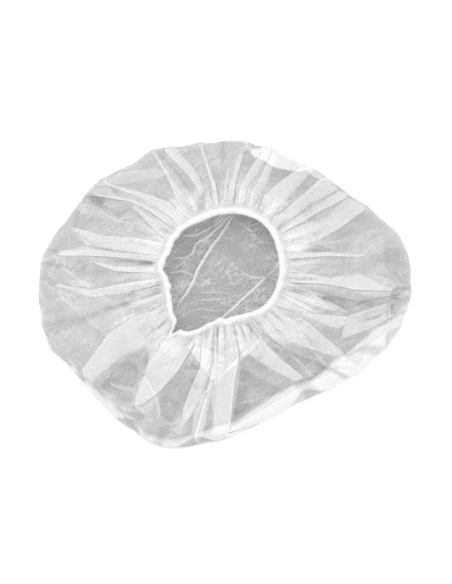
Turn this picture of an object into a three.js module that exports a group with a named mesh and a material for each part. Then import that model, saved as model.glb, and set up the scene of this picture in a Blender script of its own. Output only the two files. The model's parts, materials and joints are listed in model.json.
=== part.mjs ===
// A disposable bouffant hair cover, lying by itself with its opening up.
//
// The real thing is one round sheet of thin white nonwoven whose edge is gathered
// onto a narrow elastic band. Left alone on a table it collapses into a flat pouch:
// the crown lies on the table, the sheet turns back on itself at a soft outer edge,
// and the gathered part runs inwards and up to the band, folded into many pleats.
// It opens upwards, and the pouch between crown and pleats is empty.
//
// Millimetres, +Z up. The crown rests on z = 0 and the origin is under the middle
// of the outline. Bearings are in degrees about the middle of the opening,
// 0 towards +X and 90 towards +Y, which is the far side of the cap.
import * as THREE from "three";

// Driving dimensions
const CAP_LENGTH = 342; // the pouch from left to right, across its average reach
const OPENING_LENGTH = 104; // the relaxed opening inside the band, from left to right
const OPENING_LEFT = 5.4; // the opening's middle, left of the middle of the length
const OPENING_BACK = 15.4; // the opening's middle, behind the middle of the depth
const WALL = 1.2; // the sheet, measured straight up through it
const EDGE_HEIGHT = 14; // the soft outer edge, table to top
const EDGE_BULGE = 10; // how far that edge curls inwards
const BAND_WIDTH = 5.5; // the covered elastic, across
const BAND_HEIGHT = 4;
const BAND_CORNER = 1;
const BAND_TOP = 27; // the highest stretch of the band above the table
const BAND_GATHER = 0.4; // how far the band's cover puckers at each pleat
const SEAT_GAP = 0.3; // between the sheet's gathered lip and the band
const PLEAT_HEIGHT = 5.5; // what the widest pleat would stand above the sheet beside it
const PLEAT_SPREAD = 8; // a pleat this wide stands half as high as that
const PLEAT_INSIDE = 0.6; // share of a pleat's height that shows inside, as it is folded thick
const LIP_PLEAT_HEIGHT = 1; // what is left of a pleat where the band grips it
const PUFF = 3.5; // how far the gathered sheet domes between edge and band

// The outer edge: how far it is from the opening's middle, as a share of half the
// cap's length, and how high it stands, as a share of EDGE_HEIGHT.
const OUTLINE = [
  { bearing: 0, reach: 1.02, puff: 0.85 },
  { bearing: 12, reach: 0.995, puff: 0.8 },
  { bearing: 22, reach: 0.925, puff: 0.75 },
  { bearing: 32, reach: 0.845, puff: 0.75 },
  { bearing: 42, reach: 0.815, puff: 0.8 },
  { bearing: 51, reach: 0.79, puff: 0.9 },
  { bearing: 60, reach: 0.755, puff: 0.95 },
  { bearing: 70, reach: 0.775, puff: 0.85 },
  { bearing: 81, reach: 0.79, puff: 0.75 },
  { bearing: 94, reach: 0.775, puff: 0.7 },
  { bearing: 107, reach: 0.785, puff: 0.75 },
  { bearing: 116, reach: 0.81, puff: 0.75 },
  { bearing: 128, reach: 0.805, puff: 0.75 },
  { bearing: 140, reach: 0.85, puff: 0.8 },
  { bearing: 153, reach: 0.87, puff: 0.8 },
  { bearing: 165, reach: 0.92, puff: 0.8 },
  { bearing: 178, reach: 0.965, puff: 0.85 },
  { bearing: 190, reach: 0.98, puff: 0.85 },
  { bearing: 201, reach: 0.995, puff: 0.9 },
  { bearing: 212, reach: 0.955, puff: 0.95 },
  { bearing: 223, reach: 0.95, puff: 1.0 },
  { bearing: 236, reach: 0.975, puff: 1.0 },
  { bearing: 249, reach: 1.01, puff: 0.9 },
  { bearing: 258, reach: 0.985, puff: 0.95 },
  { bearing: 270, reach: 0.925, puff: 1.0 },
  { bearing: 284, reach: 0.86, puff: 1.0 },
  { bearing: 298, reach: 0.835, puff: 1.0 },
  { bearing: 311, reach: 0.86, puff: 1.0 },
  { bearing: 325, reach: 0.925, puff: 0.95 },
  { bearing: 338, reach: 0.985, puff: 0.9 },
  { bearing: 350, reach: 1.015, puff: 0.85 },
];

// The inside of the band: how far it is from the opening's middle, as a share of
// half the opening's length, and how high it lies, as a share of BAND_TOP. The
// elastic is pinched into a notch at 238 degrees, where its ends are joined.
const OPENING = [
  { bearing: 0, reach: 1.0, height: 0.93 },
  { bearing: 22, reach: 1.03, height: 0.95 },
  { bearing: 44, reach: 1.09, height: 1.0 },
  { bearing: 66, reach: 1.075, height: 1.0 },
  { bearing: 88, reach: 1.02, height: 0.97 },
  { bearing: 112, reach: 0.955, height: 0.95 },
  { bearing: 138, reach: 0.975, height: 0.95 },
  { bearing: 160, reach: 0.95, height: 0.93 },
  { bearing: 179, reach: 1.0, height: 0.92 },
  { bearing: 195, reach: 0.92, height: 0.9 },
  { bearing: 212, reach: 1.02, height: 0.9 },
  { bearing: 227, reach: 1.17, height: 0.87 },
  { bearing: 238, reach: 1.32, height: 0.82 },
  { bearing: 249, reach: 1.15, height: 0.82 },
  { bearing: 260, reach: 0.94, height: 0.85 },
  { bearing: 280, reach: 0.88, height: 0.87 },
  { bearing: 298, reach: 0.9, height: 0.88 },
  { bearing: 316, reach: 0.985, height: 0.9 },
  { bearing: 338, reach: 0.99, height: 0.92 },
];

// The pleats, in order round the cap. Each runs from the outer edge to the band
// through three bearings and has three widths, all in degrees. Start is the share
// of that run where it rises out of the smooth sheet, and end is where it dies away.
const PLEATS = [
  { edge: 7.4, middle: 8.8, band: 9.8, edgeWide: 1.2, middleWide: 2.6, bandWide: 7, start: 0.25, end: 1 },
  { edge: 28.3, middle: 25, band: 23.3, edgeWide: 4, middleWide: 9.5, bandWide: 13, start: 0, end: 1 },
  { edge: 36, middle: 34.4, band: 34.2, edgeWide: 2.5, middleWide: 4.5, bandWide: 5, start: 0, end: 1 },
  { edge: 42.7, middle: 41.7, band: 41.7, edgeWide: 5, middleWide: 6.5, bandWide: 6.5, start: 0, end: 1 },
  { edge: 51.8, middle: 54.5, band: 53, edgeWide: 3, middleWide: 10.5, bandWide: 12, start: 0.05, end: 1 },
  { edge: 67, middle: 65.5, band: 64.8, edgeWide: 2.5, middleWide: 6, bandWide: 7.5, start: 0.12, end: 1 },
  { edge: 71.8, middle: 74.8, band: 75.2, edgeWide: 3.5, middleWide: 5, bandWide: 8, start: 0.12, end: 1 },
  { edge: 80.5, middle: 82.2, band: 83.3, edgeWide: 2, middleWide: 3.6, bandWide: 5, start: 0.08, end: 1 },
  { edge: 86, middle: 87, band: 89.3, edgeWide: 1.2, middleWide: 2.2, bandWide: 4.6, start: 0.3, end: 1 },
  { edge: 97.7, middle: 94.7, band: 95.8, edgeWide: 1.6, middleWide: 4, bandWide: 5.5, start: 0.03, end: 1 },
  { edge: 107.8, middle: 103.5, band: 102.8, edgeWide: 5.5, middleWide: 6, bandWide: 5.8, start: 0.03, end: 1 },
  { edge: 113.2, middle: 109.6, band: 109.6, edgeWide: 1.2, middleWide: 2, bandWide: 5, start: 0.55, end: 1 },
  { edge: 117.3, middle: 116.8, band: 117, edgeWide: 1.6, middleWide: 4, bandWide: 6.8, start: 0.04, end: 1 },
  { edge: 132, middle: 122.6, band: 122.8, edgeWide: 3, middleWide: 1.6, bandWide: 1.6, start: 0, end: 0.4 },
  { edge: 138.3, middle: 130.2, band: 128.6, edgeWide: 1.6, middleWide: 7.5, bandWide: 7, start: 0.08, end: 1 },
  { edge: 144, middle: 136.9, band: 135.8, edgeWide: 1.2, middleWide: 3, bandWide: 4.8, start: 0.05, end: 1 },
  { edge: 148, middle: 142.3, band: 143.6, edgeWide: 1.2, middleWide: 3, bandWide: 7.6, start: 0.4, end: 1 },
  { edge: 161, middle: 161.5, band: 157, edgeWide: 1.6, middleWide: 7.5, bandWide: 10, start: 0.04, end: 1 },
  { edge: 172.5, middle: 169.2, band: 167.2, edgeWide: 1.6, middleWide: 4, bandWide: 6, start: 0.04, end: 1 },
  { edge: 176.8, middle: 174.8, band: 176, edgeWide: 1.2, middleWide: 3, bandWide: 7, start: 0.4, end: 1 },
  { edge: 181.5, middle: 190.3, band: 192, edgeWide: 1.4, middleWide: 5, bandWide: 10, start: 0.04, end: 1 },
  { edge: 203, middle: 202.5, band: 204, edgeWide: 1.2, middleWide: 1.6, bandWide: 7, start: 0.65, end: 1 },
  { edge: 217.8, middle: 215.4, band: 218, edgeWide: 6, middleWide: 12.5, bandWide: 13, start: 0.02, end: 1 },
  { edge: 237.7, middle: 239, band: 239.5, edgeWide: 2.4, middleWide: 13, bandWide: 16, start: 0.08, end: 1 },
  { edge: 253.5, middle: 259.2, band: 253.6, edgeWide: 3, middleWide: 4, bandWide: 6, start: 0.1, end: 1 },
  { edge: 261.4, middle: 264.6, band: 261.8, edgeWide: 2, middleWide: 3, bandWide: 6, start: 0.08, end: 1 },
  { edge: 270.6, middle: 273.6, band: 273, edgeWide: 5, middleWide: 10.5, bandWide: 12, start: 0.06, end: 1 },
  { edge: 304.6, middle: 294.1, band: 287.2, edgeWide: 5, middleWide: 11, bandWide: 12, start: 0.1, end: 1 },
  { edge: 314, middle: 304, band: 299, edgeWide: 1.2, middleWide: 1.6, bandWide: 7, start: 0.7, end: 1 },
  { edge: 324, middle: 319.5, band: 313, edgeWide: 3, middleWide: 13, bandWide: 16, start: 0.1, end: 1 },
  { edge: 347.5, middle: 331.6, band: 328.6, edgeWide: 2.4, middleWide: 4, bandWide: 8, start: 0.03, end: 1 },
  { edge: 351, middle: 340.6, band: 339.6, edgeWide: 1.2, middleWide: 5, bandWide: 8.5, start: 0.33, end: 1 },
  { edge: 355.4, middle: 355.2, band: 353.6, edgeWide: 1.6, middleWide: 6, bandWide: 10, start: 0.06, end: 1 },
];

// How finely each stretch is divided
const CROWN_SHARES = [0.55]; // rings on the crown, between its middle and the edge
const EDGE_TURNS = [-90, -45, 0, 45]; // degrees round the outer edge, from below
const RUN_SHARES = [0, 0.1, 0.24, 0.4, 0.56, 0.72, 0.87, 1]; // rings from edge to band
const FILL_STEP = 5.5; // degrees between lines on the smooth sheet
const PLEAT_SIDE = 0.26; // the slope of a pleat, as a share of its width
const RISE_RUN = 0.22; // share of the run over which a pleat rises or dies away
const GRIP = 4; // the power of the share at which the band flattens the pleats
const SLOPE = 1.4; // the power of the share at which the sheet climbs to the band

const half = { cap: CAP_LENGTH / 2, opening: OPENING_LENGTH / 2 };
const radians = THREE.MathUtils.degToRad;

// A column of a table at a bearing, on a smooth curve that closes on itself.
function around(table, column, bearing) {
  const turn = THREE.MathUtils.euclideanModulo(bearing, 360);
  let after = table.findIndex((row) => row.bearing > turn);
  if (after < 0) after = table.length;
  const row = (step) => table[THREE.MathUtils.euclideanModulo(after + step, table.length)];
  const place = (step) => row(step).bearing + 360 * Math.floor((after + step) / table.length);
  const slope = (step) => (row(step + 1)[column] - row(step - 1)[column]) / (place(step + 1) - place(step - 1));
  const span = place(0) - place(-1);
  const t = (turn - place(-1)) / span;
  const [start, end] = [row(-1)[column], row(0)[column]];
  const blend = t * t * (3 - 2 * t);
  return start + (end - start) * blend
    + span * (slope(-1) * t * (1 - t) ** 2 - slope(0) * t ** 2 * (1 - t));
}

// A pleat's value at a share of the run, from its three stations.
function along(pleat, names, share) {
  const [edge, middle, band] = names.map((name) => pleat[name]);
  return share < 0.5
    ? edge + (middle - edge) * Math.sin(Math.PI * share)
    : middle + (band - middle) * (1 - Math.cos(Math.PI * (share - 0.5)));
}

// How much of its height a pleat has at a share of the run, from 0 to 1.
function rise(pleat, share) {
  const up = pleat.start > 0 ? THREE.MathUtils.smoothstep(share, pleat.start, pleat.start + RISE_RUN)
    : THREE.MathUtils.smoothstep(share, -RISE_RUN, RISE_RUN);
  const down = pleat.end < 1 ? THREE.MathUtils.smoothstep(share, pleat.end - RISE_RUN, pleat.end) : 0;
  return up * (1 - down);
}

// The lines that run from the middle of the crown round the edge and up to the
// band: four for each pleat, its feet and its crests, and some on the smooth sheet
// between pleats. Each has a bearing, a share of the pleat's height, and the
// pleat's width in degrees, at a share of the run.
function makeLines() {
  const centre = (pleat, share) => along(pleat, ["edge", "middle", "band"], share);
  const wide = (pleat, share) => along(pleat, ["edgeWide", "middleWide", "bandWide"], share);
  const lines = [];
  PLEATS.forEach((pleat, index) => {
    for (const [side, crest] of [[-0.5, 0], [PLEAT_SIDE - 0.5, 1], [0.5 - PLEAT_SIDE, 1], [0.5, 0]]) {
      lines.push({
        bearing: (share) => centre(pleat, share) + side * wide(pleat, share),
        lift: (share) => crest * rise(pleat, share),
        wide: (share) => wide(pleat, share),
      });
    }
    const next = PLEATS[(index + 1) % PLEATS.length];
    const turn = index + 1 < PLEATS.length ? 0 : 360;
    const from = (share) => centre(pleat, share) + wide(pleat, share) / 2;
    const to = (share) => turn + centre(next, share) - wide(next, share) / 2;
    const gap = (to(0) - from(0) + to(0.5) - from(0.5)) / 2;
    const fills = Math.max(0, Math.round(gap / FILL_STEP) - 1);
    for (let fill = 1; fill <= fills; fill += 1) {
      lines.push({
        bearing: (share) => THREE.MathUtils.lerp(from(share), to(share), fill / (fills + 1)),
        lift: () => 0,
        wide: () => 0,
      });
    }
  });
  return lines;
}

const middle = new THREE.Vector2(-OPENING_LEFT, OPENING_BACK);
const LINES = makeLines();

function point(bearing, reach, height) {
  return new THREE.Vector3(
    middle.x + reach * Math.cos(radians(bearing)),
    middle.y + reach * Math.sin(radians(bearing)),
    height,
  );
}

// The band along one line: its inside, its outside, its foot and its pucker.
function bandAt(line) {
  const bearing = line.bearing(1);
  const inside = half.opening * around(OPENING, "reach", bearing);
  return {
    bearing,
    inside,
    outside: inside + BAND_WIDTH,
    foot: BAND_TOP * around(OPENING, "height", bearing) - BAND_HEIGHT - BAND_GATHER,
    pucker: BAND_GATHER * (line.lift(1) > 0 ? 1 : -1),
  };
}

// One line of the sheet from the crown to the lip, as pairs of points: the sheet's
// outside, which is the underside of the crown, and its inside.
function sheetLine(line) {
  const edge = line.bearing(0);
  const reach = half.cap * around(OUTLINE, "reach", edge);
  const height = EDGE_HEIGHT * around(OUTLINE, "puff", edge);
  const root = reach - EDGE_BULGE;
  const pairs = CROWN_SHARES.map((share) => [point(edge, root * share, 0), point(edge, root * share, WALL)]);
  for (const turn of EDGE_TURNS) {
    const [out, up] = [Math.cos(radians(turn)), Math.sin(radians(turn))];
    pairs.push([
      point(edge, root + EDGE_BULGE * out, (height / 2) * (1 + up)),
      point(edge, root + (EDGE_BULGE - WALL) * out, height / 2 + (height / 2 - WALL) * up),
    ]);
  }
  const band = bandAt(line);
  const lip = band.outside + SEAT_GAP;
  const lipTop = band.foot + (BAND_HEIGHT + WALL - LIP_PLEAT_HEIGHT) / 2;
  for (const share of RUN_SHARES) {
    const bearing = line.bearing(share);
    const start = half.cap * around(OUTLINE, "reach", bearing) - EDGE_BULGE;
    const away = THREE.MathUtils.lerp(start, lip, share);
    const width = away * radians(line.wide(share));
    const free = PLEAT_HEIGHT * width / (width + PLEAT_SPREAD);
    const pleat = THREE.MathUtils.lerp(free, LIP_PLEAT_HEIGHT, share ** GRIP) * line.lift(share);
    const smooth = THREE.MathUtils.lerp(height, lipTop, share ** SLOPE) + PUFF * Math.sin(Math.PI * share);
    pairs.push([
      point(bearing, away, smooth + pleat),
      point(bearing, away, smooth + pleat * PLEAT_INSIDE - WALL),
    ]);
  }
  return pairs;
}

// A closed solid from rows of points: each row is a ring of the section, and the
// rings follow each other round the opening.
function ringSolid(rings) {
  const size = rings[0].length;
  const index = [];
  rings.forEach((ring, at) => {
    const next = (at + 1) % rings.length;
    for (let k = 0; k < size; k += 1) {
      const [a, b] = [at * size + k, at * size + ((k + 1) % size)];
      const [c, d] = [next * size + k, next * size + ((k + 1) % size)];
      index.push(a, d, b, a, c, d);
    }
  });
  return solid(rings.flat(), index);
}

function solid(points, index) {
  const geometry = new THREE.BufferGeometry().setFromPoints(points);
  geometry.setIndex(index);
  geometry.computeVertexNormals();
  return geometry;
}

// The whole sheet: its outside, its inside, and the lip that joins them at the band.
function makeSheet() {
  const pairs = LINES.map(sheetLine);
  const rows = pairs[0].length;
  const points = [point(0, 0, 0), point(0, 0, WALL)];
  const at = (line, row, side) => 2 + ((line % LINES.length) * rows + row) * 2 + side;
  for (const pair of pairs.flat()) points.push(...pair);
  const index = [];
  LINES.forEach((_, line) => {
    index.push(0, at(line + 1, 0, 0), at(line, 0, 0));
    index.push(1, at(line, 0, 1), at(line + 1, 0, 1));
    for (let row = 0; row + 1 < rows; row += 1) {
      const [a, b, c, d] = [[line, row], [line + 1, row], [line + 1, row + 1], [line, row + 1]]
        .map(([across, out]) => at(across, out, 0));
      index.push(a, b, c, a, c, d);
      index.push(a + 1, c + 1, b + 1, a + 1, d + 1, c + 1);
    }
    const [a, b] = [at(line, rows - 1, 0), at(line + 1, rows - 1, 0)];
    index.push(a, b, b + 1, a, b + 1, a + 1);
  });
  return solid(points, index);
}

// The elastic in its gathered cover: one closed ring with eight-sided sections.
function makeBand() {
  const rings = LINES.map((line) => {
    const { bearing, inside, outside, foot, pucker } = bandAt(line);
    const top = foot + BAND_HEIGHT + pucker;
    return [
      point(bearing, inside + BAND_CORNER, foot),
      point(bearing, outside - BAND_CORNER, foot),
      point(bearing, outside, foot + BAND_CORNER),
      point(bearing, outside, top - BAND_CORNER),
      point(bearing, outside - BAND_CORNER, top),
      point(bearing, inside + BAND_CORNER, top),
      point(bearing, inside, top - BAND_CORNER),
      point(bearing, inside, foot + BAND_CORNER),
    ];
  });
  return ringSolid(rings);
}

const nonwoven = new THREE.MeshStandardMaterial({ color: 0xdfe1e3, roughness: 0.95, metalness: 0 });
const elastic = new THREE.MeshStandardMaterial({ color: 0xf4f3ee, roughness: 0.9, metalness: 0 });

const cap = new THREE.Group();
for (const [name, geometry, material] of [
  ["gathered_sheet", makeSheet(), nonwoven],
  ["elastic_band", makeBand(), elastic],
]) {
  const mesh = new THREE.Mesh(geometry, material);
  mesh.name = name;
  cap.add(mesh);
}

// The outline is lopsided, so its box is brought over the origin.
const box = new THREE.Box3().setFromObject(cap);
cap.position.set(-(box.min.x + box.max.x) / 2, -(box.min.y + box.max.y) / 2, 0);

export default cap;
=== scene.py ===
"""The looks of a disposable bouffant hair cover that lies by itself, opening up.

One thin white sheet, folded back on itself and pleated onto a gathered hem.
Metres, +Z up. Bearings are in degrees about the middle of the opening, 0 towards
+X and 90 towards +Y, and a share runs from 0 at the outer edge to 1 at the hem.
"""
import json
import math

import bpy
import numpy as np
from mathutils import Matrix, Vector
from mathutils.bvhtree import BVHTree
from mathutils.geometry import delaunay_2d_cdt


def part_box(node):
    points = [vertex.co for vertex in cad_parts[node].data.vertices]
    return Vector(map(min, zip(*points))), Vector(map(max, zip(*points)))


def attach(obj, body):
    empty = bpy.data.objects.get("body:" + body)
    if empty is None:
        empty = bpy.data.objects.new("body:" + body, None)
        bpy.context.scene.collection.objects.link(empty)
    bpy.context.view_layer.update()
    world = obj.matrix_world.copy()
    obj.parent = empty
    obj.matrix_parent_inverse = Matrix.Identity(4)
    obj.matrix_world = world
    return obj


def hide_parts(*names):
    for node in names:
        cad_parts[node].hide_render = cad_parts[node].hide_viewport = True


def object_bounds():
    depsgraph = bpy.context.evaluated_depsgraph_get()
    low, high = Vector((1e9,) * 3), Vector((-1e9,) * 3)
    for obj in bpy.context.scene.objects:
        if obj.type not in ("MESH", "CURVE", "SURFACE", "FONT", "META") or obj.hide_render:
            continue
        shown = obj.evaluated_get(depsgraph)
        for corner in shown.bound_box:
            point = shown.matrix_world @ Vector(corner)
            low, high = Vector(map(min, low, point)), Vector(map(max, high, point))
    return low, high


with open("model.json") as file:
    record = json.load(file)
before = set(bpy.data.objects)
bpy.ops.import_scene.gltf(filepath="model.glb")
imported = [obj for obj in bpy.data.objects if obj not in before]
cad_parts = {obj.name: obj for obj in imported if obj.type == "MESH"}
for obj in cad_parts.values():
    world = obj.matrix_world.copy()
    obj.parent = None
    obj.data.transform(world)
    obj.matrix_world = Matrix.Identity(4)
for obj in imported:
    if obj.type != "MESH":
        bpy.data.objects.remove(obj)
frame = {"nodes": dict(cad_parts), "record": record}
CAD_BOX = [list(corner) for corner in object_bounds()]

MM = 0.001

# The sheet
SHEET_THICK = 0.16 * MM
EDGE_BULGE = 10 * MM  # how far the soft outer edge curls inwards
PUFF = 3.5 * MM  # how far the pleated part domes between the edge and the hem
SLOPE = 1.4  # the power of the share at which it climbs to the hem
LAYER_GAP = 0.26 * MM  # between two layers of a pleat
LIP_LAYER_GAP = 0.2 * MM  # the same, where the hem grips it
PLEAT_DOME = 0.02  # how far a pleat's top layer bows up, as a share of its width
PLEAT_TIP = 0.16  # the share over which a pleat widens from its pointed tip
FOLD_EDGE = 1.4 * MM  # the width of a fold's denser edge
SOFT_FOLD = 0.5  # how dense a pleat's lower layers look at its hidden, softer fold
STRIP_DENSE = 0.4  # how much denser a narrow strip between two pleats gets to the hem
TUCK = 3 * MM  # how far the sheet goes in under the hem
EDGE_EASE = 2.5 * MM  # how far the thin sheet's edge lies inside the solid's, at most
EDGE_WAVER = 1.3 * MM  # how unevenly its edge runs
EDGE_SHARE = -0.12  # the share at the outer edge's furthest reach
REST_HEIGHT = 0.6 * SHEET_THICK  # of the middle of the layer that lies on the floor

# How the sheet's mesh is divided
COLUMNS = 832
RUN_ROWS = 38  # from the top of the outer edge to the hem
EDGE_ROWS = 4  # in each half of the outer edge's curl
CROWN_STEP = 5 * MM  # between the crown's loose points
CROWN_INSETS = (2.5 * MM, 6 * MM)  # from the outer edge to the crown's two rings, one by one
CROWN_REACH = 160 * MM  # about how far the crown reaches, for scaling the rings
CREASE_STEP = 4 * MM  # between the points along a crease

# The hem
BAND_WIDTH = 4.5 * MM  # across the elastic's cover
BAND_CREST = 2.75 * MM  # from the solid band's inside to its top
HEM_SKIRT = 8 * MM  # its free edge outside the band, in fine gathers
HEM_COLUMNS = 960
HEM_THICK = 0.3 * MM
NOTCH_BEARING = 232.6  # where the hem's two ends meet in a narrow notch
NOTCH_DEPTH = 9.5 * MM
NOTCH_HALF = 2.9  # degrees

# The photograph looks down at this angle, from the front
LOOK_DOWN = 70
LENS = 400
SENSOR = 36
SEEN_WIDTH = 407.7 * MM  # what the picture's width takes in

# The pleats, in order round the cap, as they are seen in the photograph: the share
# at which each rises, the side that its upper layer folds over (1 is the lower
# bearing), and the bearings of its two sides at the shares in PLEAT_SHARES.
PLEAT_SHARES = (0.1, 0.35, 0.6, 0.85)
PLEATS = (
    (0.22, 1, (4.6, 5.4), (4.3, 6.2), (6, 9), (6.5, 12)),
    (-0.2, 1, (21.5, 29.2), (18.5, 26.6), (16, 28.2), (15.2, 29)),
    (-0.2, 1, (30.2, 34.6), (30.2, 34.6), (29, 34.2), (29.6, 34.8)),
    (-0.2, -1, (35.4, 43), (36.2, 42.6), (34.8, 42.8), (35.4, 43.4)),
    (-0.2, -1, (47.6, 54.5), (46.8, 57), (46.5, 60), (45, 58)),
    (-0.2, -1, (64, 67.6), (62.5, 67.5), (60.8, 69.5), (59, 67.5)),
    (-0.2, -1, (68.6, 73), (70, 75.5), (73, 78), (69, 77.5)),
    (0.04, 1, (80, 82), (80.3, 83.7), (81, 86), (79.5, 86)),
    (0.28, -1, (86, 86.8), (86, 87.4), (86.5, 88.5), (87, 92)),
    (-0.1, 1, (98.7, 100), (96.5, 99), (94, 97.5), (93, 100)),
    (-0.1, -1, (108.6, 114.6), (104.5, 110.5), (103, 108), (101, 107)),
    (0.55, -1, (116, 117), (112, 113), (109.5, 112), (108, 114)),
    (-0.1, -1, (119.8, 121.2), (119, 121.8), (117, 124), (115, 125)),
    (-0.06, 1, (141.4, 143), (135.5, 140), (128.5, 138), (126.5, 136)),
    (-0.06, -1, (147.3, 148.6), (142.2, 144.2), (139, 142.6), (137, 142)),
    (0.36, -1, (145, 145.6), (145, 145.8), (144.8, 148.6), (144.4, 152.5)),
    (0.0, 1, (164, 166.4), (164.3, 170.5), (160.8, 171), (157.5, 170)),
    (0.0, -1, (173, 175.4), (171, 174.8), (171.5, 174.6), (170.4, 174.2)),
    (0.3, -1, (175.2, 176), (176.4, 177.6), (179.4, 182.4), (179.4, 184)),
    (0.02, 1, (185, 187), (189.3, 193), (189, 195), (189, 200)),
    (0.62, 1, (203, 204), (202, 203), (201, 203), (202, 208)),
    (-0.1, 1, (214, 221), (210, 221.5), (209, 226), (211, 229)),
    (0.04, -1, (236, 239), (234.5, 243.5), (230.5, 247), (231, 250)),
    (0.06, 1, (253.5, 258.3), (254.6, 261), (257, 264.2), (254, 263)),
    (-0.2, 1, (260.6, 263.6), (262.4, 265.2), (264.9, 266.3), (263.6, 266)),
    (-0.2, -1, (266.2, 273.6), (266.6, 276), (267, 281), (266.4, 281)),
    (0.04, -1, (302, 307), (294.5, 303), (285.5, 299.5), (282.5, 293)),
    (0.66, -1, (313, 314.5), (304.5, 305.5), (301, 303), (295, 302)),
    (0.04, -1, (322, 325), (316.5, 326), (309, 328), (303.5, 326)),
    (0.0, -1, (343.5, 347.5), (331.5, 338.5), (329.3, 333), (327.5, 333.5)),
    (0.3, -1, (348.8, 350), (339.5, 341), (336.5, 343), (335, 343.5)),
    (0.02, 1, (352, 353.5), (350.3, 358), (350.5, 354.5), (348, 358)),
)

# Where the outer edge is folded double: the bearing, and the share at which the
# fold's inner edge lies. Between the wide arcs only a narrow rim is double.
LIPS = (
    (0, -0.08), (46, -0.08), (54, 0.05), (62, 0.12), (74, 0.1), (82, -0.08), (198, -0.08),
    (210, -0.06), (222, -0.06), (234, -0.02), (250, -0.04), (262, 0.0), (280, 0.02),
    (292, 0.07), (310, 0.05), (322, 0.12), (338, 0.09), (350, -0.08), (360, -0.08),
)

# Creases in the crown, as seen in the photograph: how strong each is, and the places
# that it passes through, in millimetres across and up from the opening's middle.
CROWN_CREASES = (
    (
        1.0, (13, 53), (9, 46), (4, 38), (-2, 29), (-9, 20), (-15, 10),
        (-22, -2), (-25, -10), (-29, -18), (-39, -31),
    ),
    (0.7, (11, 53), (7, 48), (-4, 37), (-13, 29), (-23, 23), (-26, 15), (-30, 11), (-39, 10)),
    (0.6, (6, 54), (3, 49), (-4, 41), (-13, 36), (-23, 31), (-35, 30)),
    (0.5, (-1, 49), (-7, 41), (-12, 37)),
    (0.4, (9, 45), (16, 41), (22, 38), (30, 30), (37, 24), (46, 24)),
    (0.9, (58, 15), (52, 6), (46, -2), (40, -7), (34, -14), (23, -24), (12, -34), (1, -44), (-6, -52)),
    (0.45, (15, 0), (21, -5), (28, -8), (38, -7), (48, -1)),
    (0.5, (-48, -4), (-36, -2), (-26, -6)),
    (0.35, (-20, -22), (-5, -21), (4, -22)),
    (0.3, (-30, -32), (-17, -28), (-5, -28), (8, -26), (21, -23)),
    (0.3, (-44, -1), (-29, 10)),
    (0.3, (-41, 19), (-30, 25)),
    (0.3, (-34, -41), (-18, -36), (-6, -38), (2, -37)),
    (0.5, (60, 30), (85, 24), (120, 27)),
    (0.5, (-150, 6), (-110, -24), (-86, -40)),
    (0.4, (-120, 60), (-96, 44), (-60, 40)),
    (0.4, (-60, -110), (-20, -96), (24, -104)),
    (0.4, (70, -92), (104, -70), (128, -62)),
)

# Flat overlaps that cross the pleats, where the sheet lies double, in two sets that
# overlap each other: how dense each is, and its corners, in the creases' measure. A
# density below 0 is a place where the sheet is stretched thin.
OVERLAPS = (
    (0.45, (-118, 76), (-95, 88), (-60, 92), (-44, 88), (-56, 83), (-96, 76)),
    (0.5, (-168, 8), (-145, 15), (-126, 21), (-112, 18), (-147, 8)),
    (0.5, (-149, -2), (-128, -9), (-78, -4), (-77, -9), (-112, -16), (-133, -17)),
    (0.55, (-170, -5), (-144, -19), (-142, -24), (-170, -10)),
    (0.4, (-148, -20), (-104, -54), (-107, -58), (-150, -23)),
    (0.25, (-144, -22), (-120, -20), (-90, -30), (-84, -46), (-106, -56)),
    (0.25, (17, 111), (31, 116), (45, 106), (59, 95), (63, 88), (47, 93), (26, 104)),
    (0.9, (59, 96), (80, 93), (96, 83), (119, 67), (107, 63), (84, 83), (68, 88)),
    (0.35, (112, -18), (122, -5), (135, -4), (162, -13), (168, -26), (130, -25)),
    (0.9, (110, -51), (152, -34), (168, -31), (165, -37), (136, -53), (107, -63)),
    (0.5, (32, -63), (36, -66), (18, -82), (-2, -98), (-4, -96)),
    (0.8, (10, -88), (1, -98), (-27, -122), (-19, -112)),
    (0.4, (-18, -112), (-28, -122), (-47, -143), (-37, -149)),
    (0.55, (-73, -90), (-64, -100), (-57, -117), (-67, -130), (-86, -129), (-75, -105)),
    (0.4, (-124, -106), (-119, -104), (-84, -124), (-86, -129)),
    (0.4, (96, 7), (98, 7), (101, -4), (99, -4)),
    (-0.4, (17, -88), (57, -108), (10, -133)),
    (-0.35, (38, -66), (77, -80), (96, -88), (77, -102)),
    (-0.35, (-85, -80), (-74, -88), (-76, -107), (-83, -122), (-110, -106), (-93, -86)),
    (-0.35, (-55, -114), (-48, -112), (-35, -121), (-44, -140), (-55, -131)),
    (-0.1, (-43, -105), (-35, -96), (-20, -95), (-19, -104), (-26, -116), (-37, -120)),
    (-0.25, (-28, -79), (-37, -90), (-19, -90)),
    (-0.4, (69, 16), (87, 23), (102, 17), (86, 14)),
    (-0.4, (80, -22), (104, -25), (156, -31), (157, -38), (138, -51), (122, -50), (98, -35)),
    (-0.3, (146, 20), (168, 20), (182, -8), (180, -22), (168, -20), (146, 2)),
    (-0.12, (-160, 58), (-122, 62), (-84, 54), (-90, 44), (-150, 34)),
    (0.4, (152, 17), (154, 16), (143, 3), (141, 4)),
    (0.6, (-141, 40), (-137, 39), (-117, 22), (-121, 20)),
)
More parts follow.
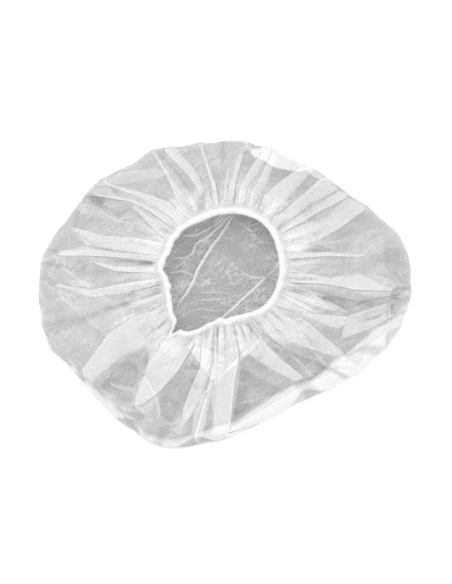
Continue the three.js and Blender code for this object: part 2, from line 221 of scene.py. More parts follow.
CROSSINGS = (
    (0.9, (4, -156), (4, -139), (61, -111), (100, -88), (126, -91), (96, -112), (38, -140)),
    (0.9, (126, -93), (119, -76), (130, -69), (134, -58), (165, -41), (167, -49), (153, -68), (140, -84)),
    (0.4, (-24, -67), (-15, -71), (17, -82), (-3, -98)),
    (0.35, (-4, -97), (17, -82), (9, -143), (-5, -145), (-10, -117)),
    (0.6, (-17, -115), (-12, -116), (-20, -145), (-27, -150), (-25, -130)),
    (1.0, (101, -86), (109, -78), (124, -88), (127, -92)),
    (0.9, (62, -110), (75, -102), (84, -108), (77, -113)),
    (0.5, (-100, -101), (-76, -107), (-77, -112), (-99, -105)),
    (0.6, (-24, -66), (-31, -69), (-9, -100), (-3, -97)),
    (0.6, (-6, -99), (-2, -97), (-20, -120), (-23, -119)),
    (0.3, (-158, -7), (-155, -8), (-144, 10), (-147, 11)),
    (0.4, (-72, -90), (-18, -91), (-18, -93), (-72, -93)),
    (0.5, (-71, -97), (-68, -97), (-57, -112), (-60, -114)),
    (0.5, (-60, -114), (-57, -112), (-53, -132), (-56, -133)),
    (0.4, (-84, -123), (-71, -128), (-71, -131), (-84, -126)),
    (0.4, (18, -118), (56, -110), (58, -113), (18, -121)),
    (0.4, (56, -67), (92, -104), (89, -106), (53, -69)),
    (0.4, (70, -56), (100, -92), (97, -93), (67, -58)),
    (0.22, (-136, 58), (-120, 66), (-96, 57), (-96, 46), (-122, 48)),
)
OVERLAP_EDGE = 1.0  # over how many millimetres an overlap begins
LIP_EDGE = 3.8  # the same, of the folded-double outer edge
DEPTH_LIMIT = 9  # how many millimetres in or out of an overlap are told apart
RUN_LENGTH = 110  # about how many millimetres the run from the edge to the hem is


def lerp(start, end, share):
    return start + (end - start) * share


def smoothstep(low, high, value):
    share = np.clip((value - low) / (high - low), 0, 1)
    return share * share * (3 - 2 * share)


def aim(bearing):
    """The direction of a bearing in the plan."""
    turn = np.radians(bearing)
    return np.stack([np.cos(turn), np.sin(turn)], -1)


def waves(bearing, share, counts, drift):
    """Irregular ripples round the cap, between about -1 and 1."""
    total = 0
    for number, count in enumerate(counts):
        phase = 2.4 * number + drift * share * (1 + 0.3 * number)
        total = total + np.sin(np.radians(count * bearing) + phase + np.sin(np.radians(3 * bearing) + number))
    return total / len(counts)


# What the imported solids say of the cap's shape
def solid_tree(node):
    """A tree of one node's faces, which rays can be cast at."""
    mesh = frame["nodes"][node].data
    return BVHTree.FromPolygons([v.co for v in mesh.vertices], [p.vertices for p in mesh.polygons])


OPENING = next(m for m in frame["record"]["mounts"] if m["name"] == "head_opening")["pos_m"]
MIDDLE = np.array(OPENING[:2])
SURVEY = np.arange(0, 360, 0.5)  # the bearings at which the solids are measured


def cast(tree, start, direction, default):
    hit = tree.ray_cast(Vector(start), Vector(direction))[0]
    return Vector(default) if hit is None else hit


def smooth_ring(values, spread):
    """Values round the cap, averaged over about spread degrees to each side."""
    step = 360 / len(values)
    reach = int(3 * spread / step)
    offsets = np.arange(-reach, reach + 1)
    weights = np.exp(-((offsets * step / spread) ** 2) / 2)
    total = sum(w * np.roll(values, o) for w, o in zip(weights, offsets))
    return total / weights.sum()


def survey_sheet():
    """How far the outer edge reaches at each surveyed bearing, and how high it is."""
    tree = solid_tree("gathered_sheet")
    reach, height = [], []
    for bearing in SURVEY:
        x, y = aim(bearing)
        far = (MIDDLE[0] + 0.5 * x, MIDDLE[1] + 0.5 * y, 6 * MM)
        edge = cast(tree, far, (-x, -y, 0), far)
        reach.append(math.dist(edge[:2], MIDDLE))
        top = (edge.x - EDGE_BULGE * x, edge.y - EDGE_BULGE * y, 0.2)
        height.append(cast(tree, top, (0, 0, -1), (0, 0, 12 * MM)).z)
    ease = EDGE_EASE * (0.5 + 0.5 * np.cos(np.radians(SURVEY - 330)))
    waver = EDGE_WAVER * waves(SURVEY, 0, (13, 21, 34), 0)
    return np.array(reach) - ease + waver, smooth_ring(np.array(height), 4)


def survey_band():
    """The band's inside, and the heights of its foot and its top."""
    tree = solid_tree("elastic_band")
    low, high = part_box("elastic_band")
    inside, foot, top = [], [], []
    for bearing in SURVEY:
        x, y = aim(bearing)
        reaches = [0.2]
        for z in np.linspace(low.z, high.z, 12)[1:-1]:
            hit = tree.ray_cast(Vector((*MIDDLE, z)), Vector((x, y, 0)))[0]
            if hit is not None:
                reaches.append(math.dist(hit[:2], MIDDLE))
        near = min(reaches)
        spot = MIDDLE + (near + BAND_CREST) * np.array((x, y))
        inside.append(near)
        foot.append(cast(tree, (*spot, 0), (0, 0, 1), (0, 0, low.z)).z)
        top.append(cast(tree, (*spot, 0.2), (0, 0, -1), (0, 0, high.z)).z)
    loose = smoothstep(-0.3, 0.7, np.cos(np.radians(SURVEY - 205)))
    inside = smooth_ring(np.array(inside), 1) + 1.0 * MM * loose * waves(SURVEY, 0, (17, 26, 31), 0)
    notch = np.clip(1 - abs(SURVEY - true_bearing(NOTCH_BEARING)) / NOTCH_HALF, 0, 1)
    return inside + NOTCH_DEPTH * notch, smooth_ring(np.array(foot), 3), smooth_ring(np.array(top), 3)


def true_bearing(seen):
    """The plan's bearing of what the photograph shows at a bearing. It looks down at
    a slant, which squashes the plan and shifts what lies lower."""
    return seen + 1.8 * np.sin(np.radians(2 * seen)) + 1.8 * np.cos(np.radians(seen + 20))


EDGE_REACH, EDGE_HEIGHT = survey_sheet()
BAND_INSIDE, BAND_FOOT, BAND_TOP = survey_band()


def at(ring, bearing):
    """A surveyed ring's value at any bearing."""
    return np.interp(np.mod(bearing, 360), np.append(SURVEY, 360), np.append(ring, ring[0]))


# The pleated sheet
def curve(stations, values, along):
    """A smooth curve through some values at some stations."""
    slopes = np.gradient(values, stations)
    place = np.clip(np.searchsorted(stations, along) - 1, 0, len(stations) - 2)
    span = stations[place + 1] - stations[place]
    t = np.clip((along - stations[place]) / span, 0, 1)
    return (
        (2 * t**3 - 3 * t**2 + 1) * values[place]
        + (t**3 - 2 * t**2 + t) * span * slopes[place]
        + (3 * t**2 - 2 * t**3) * values[place + 1]
        + (t**3 - t**2) * span * slopes[place + 1]
    )


def reaches(bearing):
    """How far out the sheet's run starts, and ends at the hem."""
    return at(EDGE_REACH, bearing) - EDGE_BULGE, at(BAND_INSIDE, bearing) + BAND_WIDTH - TUCK


def straight_side(seen, shares):
    """The plan's bearings, by share, of a pleat's side that runs straight from each
    charted place to the next."""
    bearing = true_bearing(np.array(seen, float))
    start, lip = reaches(bearing)
    spots = lerp(start, lip, np.array(PLEAT_SHARES))[:, None] * aim(bearing)
    spots = np.concatenate([[2 * spots[0] - spots[1]], spots, [2 * spots[-1] - spots[-2]]])
    line = np.concatenate([lerp(a, b, np.linspace(0, 1, 12)[:, None]) for a, b in zip(spots[:-1], spots[1:])])
    turned = np.degrees(np.arctan2(line[:, 1], line[:, 0]))
    turned += 360 * np.round((bearing.mean() - turned) / 360)
    start, lip = reaches(turned)
    share = (start - np.linalg.norm(line, axis=1)) / (start - lip)
    return np.interp(shares, np.maximum.accumulate(share), turned)


def pleat_path(mids):
    """A pleat in section, with some points in the middle of each of its layers: each
    point's share of the way across, whether it is set in from the fold there, which
    layer it is in, and how crisp a fold it is. The hidden fold, on the far side, is
    a soft one."""
    inner = [(i + 1) / (mids + 1) for i in range(mids)]
    path = [(across, 0, 0, 0) for across in inner]
    path += [(1, 1, 0.1, 0), (1, 0, 0.5, 0.3), (1, 1, 0.95, 0)]
    path += [(across, 0, 1, 0) for across in reversed(inner)]
    path += [(0, 1, 1.15, 0.1), (0, 0, 1.6, 1), (0, 1, 2, 0.15)]
    path += [(across, 0, 2.1, 0) for across in inner]
    return path + [(1, 1, 1.9, 0)]


class Pleat:
    """One pleat's path, and its sides and growth at every share of the run."""

    def __init__(self, row, shares):
        start, self.lean, *sides = row
        start = max(start, EDGE_SHARE + 0.02)
        low = straight_side([side[0] for side in sides], shares)
        high = straight_side([side[1] for side in sides], shares)
        grown = np.clip((shares - start) / PLEAT_TIP, 0.03, 1) if start > 0.05 else 1
        self.middle = (low + high) / 2
        self.wide = np.maximum(high - low, 0.8) * grown
        self.low = self.middle - self.wide / 2
        self.high = self.middle + self.wide / 2
        self.growth = smoothstep(start, start + 0.07, shares)
        path = pleat_path(int(np.clip(self.wide.max() / 3.5, 1, 6)))
        if self.lean < 0:
            path = [(1 - across, *rest) for across, *rest in reversed(path)]
        self.path = path


def pleat_columns(shares):
    """Every column's bearing, its height above the plain sheet, how far it is into
    a pleat, how crisp a fold it is and how thin it looks, by share."""
    pleats = [Pleat(row, shares) for row in PLEATS]
    count = len(pleats)
    spare = COLUMNS - sum(len(pleat.path) + 2 for pleat in pleats)
    gaps = []
    for k, pleat in enumerate(pleats):
        after = pleats[(k + 1) % count]
        turn = 360 if k + 1 == count else 0
        gaps.append(max(0.5, (after.low + turn - pleat.high).mean()))
    shared = np.floor(np.cumsum(gaps) / sum(gaps) * spare + 0.5).astype(int)
    fills = np.diff(np.concatenate([[0], shared]))

    def reach(pleat, other, turn, side):
        """How far a pleat may spread towards its neighbour: flat, and folded."""
        centres = abs(other.middle + turn - pleat.middle)
        near = other.low if side > 0 else other.high
        clear = abs(near + turn - pleat.middle)
        flat = np.minimum(0.48 * centres, 0.6 * clear)
        edge = pleat.high if side > 0 else pleat.low
        gap = abs(near + turn - edge)
        limits = [0.06 * pleat.wide + 0.3, 0.45 * gap, 0.25 * abs(edge - other.middle - turn)]
        return flat, np.minimum.reduce(limits)

    starts, ends = [], []
    for k, pleat in enumerate(pleats):
        before, after = pleats[k - 1], pleats[(k + 1) % count]
        flat_low, fold_low = reach(pleat, before, -360 if k == 0 else 0, -1)
        flat_high, fold_high = reach(pleat, after, 360 if k + 1 == count else 0, 1)
        starts.append(lerp(pleat.middle - flat_low, pleat.low - fold_low, pleat.growth))
        ends.append(lerp(pleat.middle + flat_high, pleat.high + fold_high, pleat.growth))

    def soften(across, layer):
        """How thin the two lower layers look where they come to their soft fold."""
        return 1 if layer > 1 else lerp(1, SOFT_FOLD, smoothstep(0.4, 1, across))

    run = np.clip(shares, 0, 1)
    gap_size = lerp(LAYER_GAP, LIP_LAYER_GAP, run**4)
    fold_edge = np.degrees(FOLD_EDGE / lerp(165 * MM, 64 * MM, run))
    none = np.zeros_like(shares)
    bearings, heights, inside, crisps, softs = [], [], [], [], []

    def column(bearing, height, folded, crisp, soft=1):
        bearings.append(bearing)
        heights.append(height)
        inside.append(folded)
        crisps.append(crisp)
        softs.append(soft + none)

    def narrow(end, start):
        """How narrow a strip between two pleats is, from 0 to 1. A narrow one doesn't
        sink to the plain sheet, and is gathered denser."""
        return 1 - smoothstep(1, 5, start - end)

    def strip_column(bearing, strip):
        column(bearing, 0.8 * strip * gap_size, none, STRIP_DENSE * strip * run)

    for k, pleat in enumerate(pleats):
        last = len(pleat.path) + 1
        inset = np.minimum(fold_edge, 0.2 * pleat.wide)
        bow_size = PLEAT_DOME * np.radians(pleat.wide) * 100 * MM * (1 - run**3)
        grown = pleat.growth
        before = ends[k - 1] - (360 if k == 0 else 0)
        strip_column(starts[k], narrow(before, starts[k]) * grown)
        for i, (across, from_fold, layer, crisp) in enumerate(pleat.path):
            plain = lerp(starts[k], ends[k], (i + 1) / last)
            set_in = from_fold * inset * (1 if across < 0.5 else -1)
            folded = pleat.low + across * pleat.wide + set_in
            height = layer * gap_size + math.sin(math.pi * across) * bow_size
            soft = soften(across if pleat.lean > 0 else 1 - across, layer)
            soft *= 1 - 1.1 * grown * (1 - grown)
            column(lerp(plain, folded, grown), grown * height, grown, grown * crisp, soft)
        after = starts[(k + 1) % count] + (360 if k + 1 == count else 0)
        strip = narrow(ends[k], after)
        strip_column(ends[k], strip * grown)
        for fill in range(fills[k]):
            place = (fill + 1) / (fills[k] + 1)
            next_grown = pleats[(k + 1) % count].growth
            strip_column(lerp(ends[k], after, place), strip * lerp(grown, next_grown, place))
    return [np.array(columns) for columns in (bearings, heights, inside, crisps, softs)]


def lip_depth(bearing, share):
    """How far inside the folded-double edge a place is, in shares of the run."""
    stations, folds = zip(*LIPS)
    stations = true_bearing(np.array(stations))
    fold = np.interp(bearing, stations, folds, period=360) + 0.015 * waves(bearing, 0, (23, 37), 0)
    rim = EDGE_SHARE + 0.09 * np.clip(waves(bearing, 0, (11, 19), 0), 0, 1)
    return np.minimum(fold - share, 3 * (share - rim))


def overlap(points, patches):
    """How many millimetres each point is inside the nearest charted overlap, negative
    outside it, and how dense that overlap is."""
    down = math.radians(LOOK_DOWN)
    up = (points[:, 1] - MIDDLE[1]) * math.sin(down) + (points[:, 2] - BAND_TOP.mean()) * math.cos(down)
    seen = np.column_stack([points[:, 0] - MIDDLE[0], up]) / MM
    depth, dense = np.full(len(points), -1000.0), np.zeros(len(points))
    for density, *corners in patches:
        corners = np.array(corners, float)
        after = np.roll(corners, -1, axis=0)
        sides = after - corners
        turn = np.sign((corners[:, 0] * after[:, 1] - corners[:, 1] * after[:, 0]).sum())
        inward = turn * np.column_stack([-sides[:, 1], sides[:, 0]])
        inward /= np.linalg.norm(inward, axis=1)[:, None]
        inside = ((seen[:, None] - corners) * inward).sum(-1).min(1)
        dense = np.where(inside > depth, density, dense)
        depth = np.maximum(depth, inside)
    return np.clip(depth, -DEPTH_LIMIT, DEPTH_LIMIT), dense


class Cloth:
    """The points of a mesh in the making, with what its material reads at each."""

    def __init__(self):
        self.points, self.faces = [], []
        names = ("cover", "tone", "run", "lip", "overlap", "overlap_density", "crossing", "crossing_density")
        self.values = {name: [] for name in names}

    def row(self, points, **values):
        """Adds points and returns the first one's number."""
        first = len(self.points)
        self.points.extend(np.asarray(points))
        for name, listed in self.values.items():
            listed.extend(np.broadcast_to(values.get(name, -1), len(points)))
        return first


def add_side(cloth):
    """The sheet from under the outer edge up and in to the hem. Returns its first
    ring's plan points."""
    edge_shares = np.linspace(EDGE_SHARE, 0, EDGE_ROWS, endpoint=False)
    shares = np.concatenate([edge_shares, np.linspace(0, 1, RUN_ROWS)])
    bearing, lift, folded, crisp, soft = pleat_columns(shares)

    def edge_row(i, turn):
        b = bearing[:, i]
        away = reaches(b)[0] + EDGE_BULGE * math.cos(turn)
        z = at(EDGE_HEIGHT, b) / 2 * (1 + math.sin(turn)) + REST_HEIGHT
        return np.column_stack([MIDDLE + away[:, None] * aim(b), z + lift[:, i]])

    for turn in np.radians(np.linspace(-90, 0, EDGE_ROWS + 1)[:-1]):
        points = edge_row(0, turn)
        # The curl's underside is painted shade grey, painted lighter towards its top
        up = smoothstep(-90, 20, math.degrees(turn))
        cloth.row(points, cover=3, tone=lerp(0, 0.3, up), run=0)
    for i, share in enumerate(shares):
        b = bearing[:, i]
        if share < 0:
            points = edge_row(i, math.radians(90 * (1 - share / EDGE_SHARE)))
        else:
            start, lip = reaches(b)
            lip_top = (at(BAND_FOOT, b) + at(BAND_TOP, b)) / 2
            z = lerp(at(EDGE_HEIGHT, b), lip_top, share**SLOPE) + PUFF * math.sin(math.pi * share)
            gathers = smoothstep(0.35, 0.8, share) * (1 - 0.5 * smoothstep(0.85, 1, share))
            z += 1.6 * MM * gathers * waves(b, share, (43, 57, 71), 1.5)
            z -= 0.5 * MM * math.sin(math.pi * share) * (1 - folded[:, i])
            z += 1.2 * MM * waves(b, share, (7, 11), 5) * math.sin(math.pi * share)
            away = lerp(start, lip, share)
            points = np.column_stack([MIDDLE + away[:, None] * aim(b), z + lift[:, i]])
        dense = 0.65 * folded[:, i] * lerp(1, 0.4, smoothstep(0.5, 1, share))
        edge = 5.5 * crisp[:, i] * (1 - 0.7 * share)
        cover = lerp(0.8, 2.1, smoothstep(0.35, 0.95, share)) * (1 + dense + edge) * soft[:, i]
        folds = {"lip": lip_depth(b, share)}
        folds["overlap"], folds["overlap_density"] = overlap(points, OVERLAPS)
        folds["crossing"], folds["crossing_density"] = overlap(points, CROSSINGS)
        # Crisp folds are painted lighter, kept clear of the painted shade grey
        cloth.row(points, cover=cover, tone=1 + 0.3 * crisp[:, i], run=max(share, 0), **folds)
    for i in range(2 * EDGE_ROWS + RUN_ROWS - 1):
        cloth.faces += ring_faces((i + 1) * COLUMNS, i * COLUMNS, COLUMNS, COLUMNS)
    return np.array(cloth.points[:COLUMNS])[:, :2]


def smooth_line(spots, step):
    """Points about a step apart on a smooth line through some spots."""
    spots = np.array(spots, float)
    lengths = np.linalg.norm(np.diff(spots, axis=0), axis=1)
    stations = np.concatenate([[0], np.cumsum(lengths)])
    along = np.linspace(0, stations[-1], max(2, round(stations[-1] / step) + 1))
    return np.column_stack([curve(stations, spots[:, axis], along) for axis in (0, 1)])


def on_crown(spots):
    """Plan points of places that the photograph shows on the crown, in millimetres
    across and up from the opening's middle."""
    down = math.radians(LOOK_DOWN)
    drop = BAND_TOP.mean() * math.cos(down)
    return [MIDDLE + ((across * MM), (up * MM + drop) / math.sin(down)) for across, up in spots]


def add_crown(cloth, ring):
    """The crown, from the outer edge's ring in, as triangles with an edge along each
    crease."""
    rng = np.random.default_rng(5)
    first, size = 0, len(ring)
    for inset in CROWN_INSETS:
        ring = lerp(ring[::2], MIDDLE, inset / CROWN_REACH)
        z = crown_height(ring, 0)
        # The crown's rings are painted shade grey
        start = cloth.row(np.column_stack([ring, z]), cover=3, tone=0, run=0)
        cloth.faces += ring_faces(first, start, size, len(ring))
        first, size = start, len(ring)

    spots = [Vector(spot) for spot in ring]
    edges = [(i, (i + 1) % size) for i in range(size)]
    strengths = [0] * size
    crest = []
    for strength, *seen in CROWN_CREASES:
        line = smooth_line(on_crown(seen), CREASE_STEP)
        line += rng.normal(0, 0.15 * MM, line.shape)
        heading = np.gradient(line, axis=0)
        normal = np.column_stack([-heading[:, 1], heading[:, 0]])
        normal /= np.linalg.norm(normal, axis=1)[:, None]
        half = lerp(0.7, 1.6, strength) * MM
        fade = np.sin(np.linspace(0.04, 0.96, len(line)) * math.pi) ** 0.5
        # Each crease: a strip on one side painted with shade (-0.1), its ridge raised and painted light, and
        # a plain strip on the other side
        for side, rise in ((-1, -0.1), (0, 1), (1, 0)):
            number = len(spots)
            spots += [Vector(spot) for spot in line + side * half * normal]
            strengths += list(strength * fade * rise)
            edges += [(number + i, number + i + 1) for i in range(len(line) - 1)]
        crest.extend(line)
    crest = np.array(crest)
    ring_reach = np.linalg.norm(ring - MIDDLE, axis=1)
    ring_bearing = np.degrees(np.arctan2(*(ring - MIDDLE).T[::-1])) % 360
    order = np.argsort(ring_bearing)
    steps = np.arange(-0.19, 0.19, CROWN_STEP)
    for x in steps:
        for y in steps:
            spot = np.array((x, y)) + rng.uniform(-0.3, 0.3, 2) * CROWN_STEP
            bearing = math.degrees(math.atan2(spot[1], spot[0])) % 360
            limit = np.interp(bearing, ring_bearing[order], ring_reach[order], period=360)
            near = np.linalg.norm(crest - MIDDLE - spot, axis=1).min()
            if np.linalg.norm(spot) < limit - 3 * MM and near > 2.5 * MM:
                spots.append(Vector(spot + MIDDLE))
                strengths.append(0)
    found, _, faces, origins, _, _ = delaunay_2d_cdt(spots, edges, [], 1, 1e-6)
    numbers, points, rises = [], [], []
    start = len(cloth.points)
    for spot, origin in zip(found, origins):
        if origin and min(origin) < size:
            numbers.append(first + min(origin))
        else:
            numbers.append(start + len(points))
            points.append(spot)
            rises.append(max((strengths[i] for i in origin), key=abs, default=0))
    points, rises = np.array(points), np.array(rises)
    z = crown_height(points, rises)
    # Painted light: the crown is painted a little lighter from 25 to 55 mm out from the middle, against the
    # shade that falls by the hem
    rim_tone = lerp(-0.03, 0.1, smoothstep(25 * MM, 55 * MM, np.linalg.norm(points - MIDDLE, axis=1)))
    cloth.row(np.column_stack([points, z]), cover=3, tone=1.5 * rises + rim_tone, run=0)
    cloth.faces += [tuple(numbers[i] for i in reversed(face)) for face in faces]


def crown_height(spots, rises):
    """The crown's height: it lies on the floor, in low soft waves, and its creases
    stand up a little."""
    x, y = spots.T / MM
    wave = np.sin(x / 17 + np.sin(y / 23) * 2) + np.sin(y / 14 + x / 31 + 1) + np.sin((x - y) / 9.5)
    reach = np.linalg.norm(spots - MIDDLE, axis=1)
    wave = (wave + 0.4 + np.sqrt((wave + 0.4) ** 2 + 0.6)) / 2
    waves_high = 0.4 * MM * wave * smoothstep(0.15, 0.12, reach)
    return REST_HEIGHT + waves_high + 0.9 * MM * np.maximum(rises, 0)


def mesh_object(name, points, faces, attributes):
    mesh = bpy.data.meshes.new(name)
    mesh.from_pydata(points, [], faces)
    mesh.validate()
    for label, values in attributes.items():
        layer = mesh.attributes.new(label, "FLOAT", "POINT")
        layer.data.foreach_set("value", np.asarray(values, np.float32))
    piece = bpy.data.objects.new(name, mesh)
    bpy.context.scene.collection.objects.link(piece)
    bpy.ops.object.select_all(action="DESELECT")
    bpy.context.view_layer.objects.active = piece
    piece.select_set(True)
    return piece


def thicken(piece, thickness):
    solidify = piece.modifiers.new("Thickness", "SOLIDIFY")
    solidify.thickness = thickness
    solidify.offset = 0
    solidify.use_rim = True
    bpy.ops.object.modifier_apply(modifier=solidify.name)
    bpy.ops.object.shade_smooth()


def ring_faces(outer, inner, count_outer, count_inner):
    """Faces from one ring to the next one in, which may have half as many points."""
    faces = []
    if count_outer == count_inner:
        for j in range(count_outer):
            k = (j + 1) % count_outer
            faces.append((outer + j, inner + j, inner + k, outer + k))
        return faces
    for j in range(count_inner):
        k = (j + 1) % count_inner
        left, centre, right = outer + 2 * j, outer + 2 * j + 1, outer + (2 * j + 2) % count_outer
        faces.append((left, inner + j, centre))
        faces.append((centre, inner + j, inner + k))
        faces.append((centre, inner + k, right))
    return faces


def make_sheet():
    cloth = Cloth()
    ring = add_side(cloth)
    add_crown(cloth, ring)
    sheet = mesh_object("pleated_sheet", cloth.points, cloth.faces, cloth.values)
    thicken(sheet, SHEET_THICK)
    return sheet


# The hem in its fine gathers
def make_hem():
    cloth = Cloth()
    bearing = np.linspace(0, 360, HEM_COLUMNS, endpoint=False)
    way = aim(bearing)
    inside, foot, top = (at(ring, bearing) for ring in (BAND_INSIDE, BAND_FOOT, BAND_TOP))
    fine = waves(bearing, 0, (131, 97), 0)
    lumps = waves(bearing, 0, (19, 29, 37), 0)
    swell = waves(bearing, 0, (5, 9, 14), 0)
    loose = 0.3 + 0.7 * smoothstep(-0.4, 0.6, np.cos(np.radians(bearing - 215)))
    start, lip = reaches(bearing)
    middle_z = (foot + top) / 2
    skirt = HEM_SKIRT * (1 + 0.45 * waves(bearing, 0, (17, 27, 41), 0))

    for share in np.linspace(1, 0, 8)[:-1]:
        away = inside + BAND_WIDTH + skirt * share
        run = np.clip((start - away) / (start - lip), 0, 1)
        sheet_z = lerp(at(EDGE_HEIGHT, bearing), middle_z, run**SLOPE) + PUFF * np.sin(np.pi * run)
        ramp = (1 - share) ** 2
        ruffle = (0.3 * fine + 0.4 * lumps * loose) * (1 - ramp) * MM
        z = lerp(sheet_z + 1.6 * MM, top - 0.4 * MM, ramp) + ruffle
        cover = 0.1 + 2.4 * ramp
        cloth.row(np.column_stack([MIDDLE + away[:, None] * way, z]), cover=cover, tone=1, run=0.9 * share)
    pucker = (0.1 * fine + 0.7 * lumps * loose + 0.45 * swell) * MM
    for turn in np.radians(np.linspace(60, 330, 14)):
        away = inside + BAND_WIDTH / 2 + (BAND_WIDTH / 2 + pucker) * math.cos(turn)
        z = middle_z + ((top - foot) / 2 + pucker) * math.sin(turn)
        cloth.row(np.column_stack([MIDDLE + away[:, None] * way, z]), cover=4, tone=1, run=0)
    for i in range(len(cloth.points) // HEM_COLUMNS - 1):
        cloth.faces += ring_faces(i * HEM_COLUMNS, (i + 1) * HEM_COLUMNS, HEM_COLUMNS, HEM_COLUMNS)
    hem = mesh_object("gathered_hem", cloth.points, cloth.faces, cloth.values)
    thicken(hem, HEM_THICK)
    return hem


# Materials
class Nodes:
    """A short way to write a material's nodes."""

    def __init__(self, name):
        self.material = bpy.data.materials.new(name)
        self.material.use_nodes = True
        self.tree = self.material.node_tree
        self.tree.nodes.clear()

    def add(self, kind, settings=(), **inputs):
        node = self.tree.nodes.new(kind)
        for name, value in dict(settings).items():
            setattr(node, name, value)
        for name, value in inputs.items():
            socket = node.inputs[int(name[1:]) if name[0] == "_" else name.replace("_", " ")]
            if isinstance(value, bpy.types.NodeSocket):
                self.tree.links.new(value, socket)
            else:
                socket.default_value = value
        return node.outputs[0] if node.outputs else None

    def math(self, operation, first, second=0.0, third=0.0):
        return self.add("ShaderNodeMath", {"operation": operation}, _0=first, _1=second, _2=third)

    def attribute(self, name):
        self.add("ShaderNodeAttribute", {"attribute_name": name})
        return self.tree.nodes[-1].outputs["Fac"]

    def noise(self, where, grain, turn, detail=3.0, distortion=0.0):
        """Noise whose grains are so many millimetres along, across and up, turned
        by some degrees."""
        place = self.add(
            "ShaderNodeMapping", {"vector_type": "TEXTURE"}, Vector=where,
            Scale=[size * MM for size in grain], Rotation=(0, 0, math.radians(turn)),
        )
        return self.add("ShaderNodeTexNoise", Vector=place, Scale=1.0, Detail=detail, Distortion=distortion)


# Painted shade: the dark beneath a thin white sheet, painted in as grey on the crown and the curl's
# underside. The sheet's colour is mixed from this grey (0) to its own white (1).
PAINTED_SHADE_GREY = (0.385, 0.386, 0.396, 1)
FIBRE_WHITE = (0.965, 0.965, 0.975, 1)
HEM_WHITE = (0.95, 0.95, 0.948, 1)


def clamped(nodes, value, slope, rise):
    """A value stretched by a slope, raised, and kept from 0 to 1."""
    value = nodes.math("MULTIPLY_ADD", value, slope, rise)
    return nodes.math("MINIMUM", nodes.math("MAXIMUM", value, 0.0), 1.0)


def filaments(nodes, where):
    """Thin wandering fibres, 1 on a fibre and 0 away from it, that fade in and out."""
    lines = []
    for grain, turn in (((14, 5, 2.5), 24), ((16, 6, 2.5), 62)):
        strand = nodes.noise(where, grain, turn, 2.0, 1.0)
        gap = nodes.math("ABSOLUTE", nodes.math("SUBTRACT", strand, 0.5))
        lines.append(nodes.math("MAXIMUM", nodes.math("MULTIPLY_ADD", gap, -16.0, 1.0), 0.0))
    seen = clamped(nodes, nodes.noise(where, (20, 20, 3), 0, 0.0), 4.0, -1.5)
    return nodes.math("MULTIPLY", nodes.math("MAXIMUM", *lines), seen)


# In the sheet's colour these streaks are painted shade in the gathers' creases; in its opacity they thin and
# thicken the sheet.
def gathers(nodes, where):
    """Fine streaks that run in to the hem, below 0 where they are dark, and 0 far
    from the hem."""
    middle = (*MIDDLE, 0)
    spoke = nodes.add("ShaderNodeVectorMath", {"operation": "SUBTRACT"}, _0=where, _1=middle)
    spoke = nodes.add("ShaderNodeVectorMath", {"operation": "MULTIPLY"}, _0=spoke, _1=(1, 1, 0))
    spoke = nodes.add("ShaderNodeVectorMath", {"operation": "NORMALIZE"}, _0=spoke)
    run = nodes.attribute("run")
    lift = nodes.add("ShaderNodeCombineXYZ", Z=nodes.math("MULTIPLY", run, 0.12))
    spoke = nodes.add("ShaderNodeVectorMath", {"operation": "ADD"}, _0=spoke, _1=lift)
    streak = nodes.add("ShaderNodeTexNoise", Vector=spoke, Scale=14.0, Detail=4.0)
    strength = nodes.math("POWER", run, 1.6)
    return nodes.math("MULTIPLY", nodes.math("SUBTRACT", streak, 0.53), strength)


def folded_double(nodes, depth, density, crisp, begin):
    """How much a place that lies double adds, with a little more along its folded
    edge if that is crisp, from how many millimetres inside it is and over how many
    it begins."""
    layer = clamped(nodes, depth, 1 / begin, 0.0)
    away = nodes.math("ABSOLUTE", nodes.math("SUBTRACT", depth, 1.0))
    edge = nodes.math("MAXIMUM", nodes.math("MULTIPLY_ADD", away, -0.8, 1.0), 0.0)
    edge = nodes.math("MULTIPLY", edge, nodes.math("MAXIMUM", nodes.math("MULTIPLY", density, crisp), 0.0))
    return nodes.math("MULTIPLY_ADD", layer, density, edge)


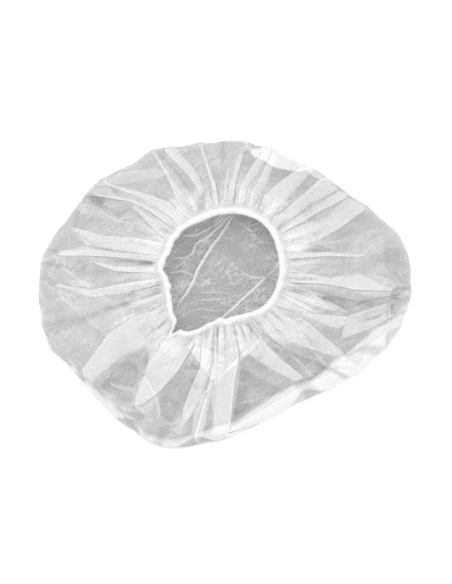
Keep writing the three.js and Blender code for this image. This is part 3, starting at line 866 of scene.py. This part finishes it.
def nonwoven(name, one_layer, white):
    """Thin spunbond: fine matt fibres with light showing between them."""
    nodes = Nodes(name)
    nodes.add("ShaderNodeTexCoord")
    where = nodes.tree.nodes[-1].outputs["Object"]
    grain = nodes.noise(where, (1.6, 1.15, 1.1), 24, 1.0)
    cloud = nodes.noise(where, (18, 7, 3), 24, 3.0, 0.8)
    fibre = filaments(nodes, where)
    body = nodes.math("MULTIPLY_ADD", grain, 0.9, -0.45)
    body = nodes.math("MULTIPLY_ADD", cloud, 1.1, body)
    body = nodes.math("MULTIPLY_ADD", fibre, 0.4, body)
    streaks = gathers(nodes, where)
    body = nodes.math("MULTIPLY_ADD", streaks, 4.6, body)
    lip = nodes.math("MULTIPLY", nodes.attribute("lip"), RUN_LENGTH)
    body = nodes.math("ADD", folded_double(nodes, lip, 2.9, 0.2, LIP_EDGE), body)
    for patches in ("overlap", "crossing"):
        density = nodes.math("MULTIPLY", nodes.attribute(patches + "_density"), 1.5)
        double = folded_double(nodes, nodes.attribute(patches), density, 0.3, OVERLAP_EDGE)
        body = nodes.math("ADD", double, body)
    cover = nodes.math("MULTIPLY", nodes.attribute("cover"), one_layer)
    opaque = nodes.math("MULTIPLY_ADD", body, cover, nodes.math("MULTIPLY", cover, 0.45))
    opaque = clamped(nodes, opaque, 1.0, 0.0)
    # From the mesh: 0 where the sheet is painted the shade grey, 1 where it shows its own white
    plain_tone = nodes.attribute("tone")
    tone = nodes.math("MULTIPLY_ADD", fibre, 0.3, plain_tone)
    tone = nodes.math("MULTIPLY_ADD", grain, 0.75, tone)
    # Painted shade: the gathers' streaks darken the colour where their creases lie
    tone = nodes.math("MULTIPLY_ADD", streaks, 4.2, tone)
    tone = nodes.math("MULTIPLY_ADD", cloud, 0.5, tone)
    tone = clamped(nodes, tone, 1.0, -0.4)
    # The colour: painted shade grey mixed with the sheet's white, with fibre grain and cloudiness added to
    # the mix
    colour = nodes.tree.nodes.new("ShaderNodeMix")
    colour.data_type = "RGBA"
    colour.inputs["A"].default_value = PAINTED_SHADE_GREY
    colour.inputs["B"].default_value = white
    nodes.tree.links.new(tone, colour.inputs["Factor"])
    colour = colour.outputs["Result"]
    bump = nodes.add("ShaderNodeBump", Height=grain, Strength=0.3, Distance=0.25 * MM)
    matt = nodes.add("ShaderNodeBsdfPrincipled", Base_Color=colour, Roughness=0.85, Normal=bump)
    matt.node.inputs["Specular IOR Level"].default_value = 0.15
    glow = nodes.add("ShaderNodeBsdfTranslucent", Color=colour)
    share = clamped(nodes, plain_tone, 0.1, 0.06)
    fibres = nodes.add("ShaderNodeMixShader", _0=share, _1=matt, _2=glow)
    clear = nodes.add("ShaderNodeBsdfTransparent")
    shader = nodes.add("ShaderNodeMixShader", _0=opaque, _1=clear, _2=fibres)
    nodes.add("ShaderNodeOutputMaterial", Surface=shader)
    return nodes.material


def lit_white(name):
    """A matt white table top with a faint light of its own."""
    nodes = Nodes(name)
    matt = nodes.add("ShaderNodeBsdfDiffuse", Color=(0.95, 0.95, 0.95, 1), Roughness=0.0)
    light = nodes.add("ShaderNodeEmission", Color=(1, 1, 1, 1), Strength=0.25)
    shader = nodes.add("ShaderNodeAddShader", _0=matt, _1=light)
    nodes.add("ShaderNodeOutputMaterial", Surface=shader)
    return nodes.material


# The studio
def make_floor():
    bpy.ops.object.select_all(action="DESELECT")
    bpy.ops.mesh.primitive_plane_add(size=8)
    floor = bpy.context.object
    floor.name = "floor"
    floor.data.materials.append(lit_white("white_floor"))


def make_light(name, place, size, power):
    light = bpy.data.lights.new(name, "AREA")
    light.size = size
    light.energy = power
    lamp = bpy.data.objects.new(name, light)
    lamp.location = place
    lamp.rotation_euler = Vector(place).to_track_quat("Z", "Y").to_euler()
    bpy.context.scene.collection.objects.link(lamp)


def make_studio():
    scene = bpy.context.scene
    world = bpy.data.worlds.new("studio")
    world.use_nodes = True
    world.node_tree.nodes["Background"].inputs["Color"].default_value = (1, 1, 1, 1)
    world.node_tree.nodes["Background"].inputs["Strength"].default_value = 0.82
    scene.world = world
    make_light("soft_key", (-1.3, 0.9, 1.9), 2.0, 23)
    make_light("soft_fill", (1.6, -1.2, 1.7), 2.4, 14)
    scene.view_settings.view_transform = "Standard"
    scene.cycles.transparent_max_bounces = 32
    scene.cycles.diffuse_bounces = 3


def make_camera():
    camera = bpy.data.cameras.new("camera")
    camera.sensor_fit = "HORIZONTAL"
    camera.sensor_width = SENSOR
    camera.lens = LENS
    seat = bpy.data.objects.new("camera", camera)
    low, high = (Vector(corner) for corner in CAD_BOX)
    target = Vector(((low.x + high.x) / 2, (low.y + high.y) / 2, 6 * MM))
    away = SEEN_WIDTH * LENS / SENSOR
    down = math.radians(LOOK_DOWN)
    seat.location = target + away * Vector((0, -math.cos(down), math.sin(down)))
    seat.rotation_euler = (seat.location - target).to_track_quat("Z", "Y").to_euler()
    bpy.context.scene.collection.objects.link(seat)
    bpy.context.scene.camera = seat


def dress(piece, material, node):
    piece.data.materials.append(material)
    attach(piece, "root")
    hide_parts(node)


make_camera()
make_studio()
make_floor()
sheet = make_sheet()
hem = make_hem()
dress(sheet, nonwoven("nonwoven", 0.22, FIBRE_WHITE), "gathered_sheet")
dress(hem, nonwoven("gathered_nonwoven", 0.3, HEM_WHITE), "elastic_band")
